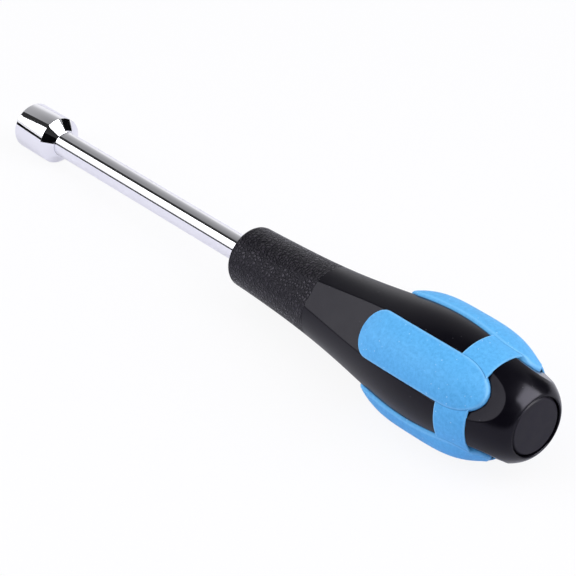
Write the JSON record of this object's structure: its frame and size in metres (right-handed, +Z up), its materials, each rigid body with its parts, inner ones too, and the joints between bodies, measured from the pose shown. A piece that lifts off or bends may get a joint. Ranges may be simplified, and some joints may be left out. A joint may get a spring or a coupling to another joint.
{
  "type": "nut driver",
  "caption": "Hand nut driver: chromed hexagon socket on a round shank, in a flared black handle with a soft blue overmoulded grip and a recessed end cap.",
  "frame": {"origin": "centre of the socket's mouth, on the drive axis", "axes": "+X from the socket's mouth along the drive axis to the tail of the handle, +Z up with the tool lying level and two grip pads facing half up on each side"},
  "size_m": [0.2005, 0.0312, 0.0312],
  "materials": {
    "chromed_steel": "bright chrome plate",
    "black_plastic": "gloss moulding, spark-eroded grain on the front third",
    "blue_rubber": "matte soft overmoulding",
    "cap_plastic": "fine matte"
  },
  "bodies": {
    "root": {"socket": "chromed_steel", "shank": "chromed_steel", "handle_body": "black_plastic", "soft_grip": "blue_rubber", "end_cap": "cap_plastic"}
  },
  "joints": []
}
